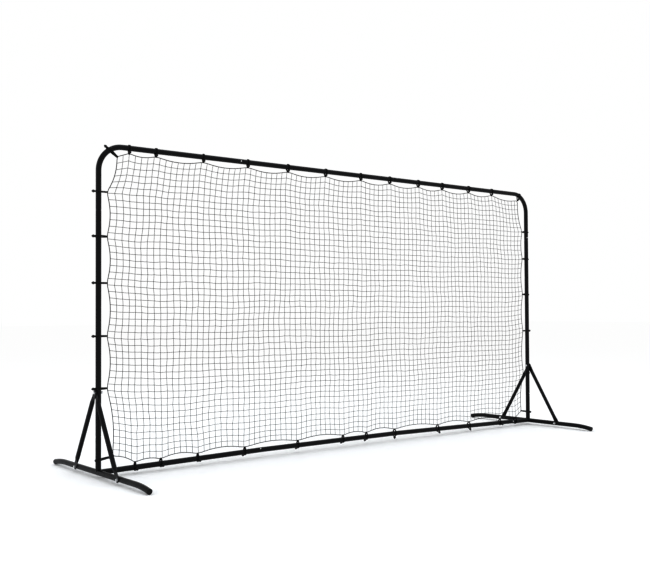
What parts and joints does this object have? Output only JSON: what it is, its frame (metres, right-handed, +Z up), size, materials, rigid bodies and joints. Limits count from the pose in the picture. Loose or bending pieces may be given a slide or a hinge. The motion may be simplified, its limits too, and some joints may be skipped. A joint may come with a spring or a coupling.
{
  "type": "pitch back rebounder",
  "caption": "Free-standing sports rebounder: black steel tube frame on braced foot bars, square-mesh net held by elastic loops with balls.",
  "frame": {"origin": "on the ground, under the middle of the frame", "axes": "+X along the width to the right seen from the front, +Y to the back, +Z up"},
  "size_m": [3.704, 1.1854, 1.8367],
  "materials": {
    "black_powder_coat": "satin black powder coat",
    "plug_plastic": "matte moulded",
    "zinc_steel": "bright zinc plate",
    "button_steel": "bright nickel plate",
    "spring_steel": "oiled spring steel",
    "net_twine": "braided knotted twine",
    "border_rope": "braided rope",
    "elastic_cord": "braided elastic cord",
    "ball_plastic": "glossy moulded"
  },
  "bodies": {
    "frame": {"corner_tube_left": "black_powder_coat", "corner_tube_right": "black_powder_coat", "top_tube_long": "black_powder_coat", "top_tube_short": "black_powder_coat", "post_left": "black_powder_coat", "post_right": "black_powder_coat", "bottom_tube_left": "black_powder_coat", "bottom_tube_middle": "black_powder_coat", "bottom_tube_right": "black_powder_coat", "foot_bar_left": "black_powder_coat", "foot_upright_left": "black_powder_coat", "foot_side_stub_left": "black_powder_coat", "foot_bar_right": "black_powder_coat", "foot_upright_right": "black_powder_coat", "foot_side_stub_right": "black_powder_coat", "strut_left_front": "black_powder_coat", "strut_left_back": "black_powder_coat", "strut_right_front": "black_powder_coat", "strut_right_back": "black_powder_coat", "foot_plug_left_front": "plug_plastic", "foot_plug_left_back": "plug_plastic", "foot_plug_right_front": "plug_plastic", "foot_plug_right_back": "plug_plastic", "strut_bolts": "zinc_steel", "strut_nuts": "zinc_steel", "strut_washers": "zinc_steel", "snap_springs": "spring_steel", "net": "net_twine", "border_rope": "border_rope", "elastic_loops_top": "elastic_cord", "elastic_loops_bottom": "elastic_cord", "elastic_loops_left": "elastic_cord", "elastic_loops_right": "elastic_cord", "balls_top": "ball_plastic", "balls_bottom": "ball_plastic", "balls_left": "ball_plastic", "balls_right": "ball_plastic"},
    "button_top_left": {"button_top_left": "button_steel"},
    "button_top_splice": {"button_top_splice": "button_steel"},
    "button_top_right": {"button_top_right": "button_steel"},
    "button_post_top_left": {"button_post_top_left": "button_steel"},
    "button_post_top_right": {"button_post_top_right": "button_steel"},
    "button_post_foot_left": {"button_post_foot_left": "button_steel"},
    "button_post_foot_right": {"button_post_foot_right": "button_steel"},
    "button_bottom_outer_left": {"button_bottom_outer_left": "button_steel"},
    "button_bottom_outer_right": {"button_bottom_outer_right": "button_steel"},
    "button_bottom_left": {"button_bottom_left": "button_steel"},
    "button_bottom_right": {"button_bottom_right": "button_steel"}
  },
  "joints": [
    {"name": "button_top_left_press", "type": "slide", "parent": "frame", "child": "button_top_left", "axis": [0, 1, 0], "range_m": [0, 0.007], "stiffness_N_per_m": 1500, "springref_m": -0.002, "deforming": ["snap_springs"]},
    {"name": "button_top_splice_press", "type": "slide", "parent": "frame", "child": "button_top_splice", "axis": [0, 0.5736, -0.8192], "range_m": [0, 0.007], "stiffness_N_per_m": 1500, "springref_m": -0.002, "deforming": ["snap_springs"]},
    {"name": "button_top_right_press", "type": "slide", "parent": "frame", "child": "button_top_right", "axis": [0, -1, 0], "range_m": [0, 0.007], "stiffness_N_per_m": 1500, "springref_m": -0.002, "deforming": ["snap_springs"]},
    {"name": "button_post_top_left_press", "type": "slide", "parent": "frame", "child": "button_post_top_left", "axis": [0, -1, 0], "range_m": [0, 0.007], "stiffness_N_per_m": 1500, "springref_m": -0.002, "deforming": ["snap_springs"]},
    {"name": "button_post_top_right_press", "type": "slide", "parent": "frame", "child": "button_post_top_right", "axis": [0.4226, 0.9063, 0], "range_m": [0, 0.007], "stiffness_N_per_m": 1500, "springref_m": -0.002, "deforming": ["snap_springs"]},
    {"name": "button_post_foot_left_press", "type": "slide", "parent": "frame", "child": "button_post_foot_left", "axis": [0, -1, 0], "range_m": [0, 0.007], "stiffness_N_per_m": 1500, "springref_m": -0.002, "deforming": ["snap_springs"]},
    {"name": "button_post_foot_right_press", "type": "slide", "parent": "frame", "child": "button_post_foot_right", "axis": [0, 1, 0], "range_m": [0, 0.007], "stiffness_N_per_m": 1500, "springref_m": -0.002, "deforming": ["snap_springs"]},
    {"name": "button_bottom_outer_left_press", "type": "slide", "parent": "frame", "child": "button_bottom_outer_left", "axis": [0, -1, 0], "range_m": [0, 0.007], "stiffness_N_per_m": 1500, "springref_m": -0.002, "deforming": ["snap_springs"]},
    {"name": "button_bottom_outer_right_press", "type": "slide", "parent": "frame", "child": "button_bottom_outer_right", "axis": [-0.0024, 0.9848, -0.1736], "range_m": [0, 0.007], "stiffness_N_per_m": 1500, "springref_m": -0.002, "deforming": ["snap_springs"]},
    {"name": "button_bottom_left_press", "type": "slide", "parent": "frame", "child": "button_bottom_left", "axis": [0.0091, 0.8192, -0.5735], "range_m": [0, 0.007], "stiffness_N_per_m": 1500, "springref_m": -0.002, "deforming": ["snap_springs"]},
    {"name": "button_bottom_right_press", "type": "slide", "parent": "frame", "child": "button_bottom_right", "axis": [0, -1, 0], "range_m": [0, 0.007], "stiffness_N_per_m": 1500, "springref_m": -0.002, "deforming": ["snap_springs"]}
  ]
}
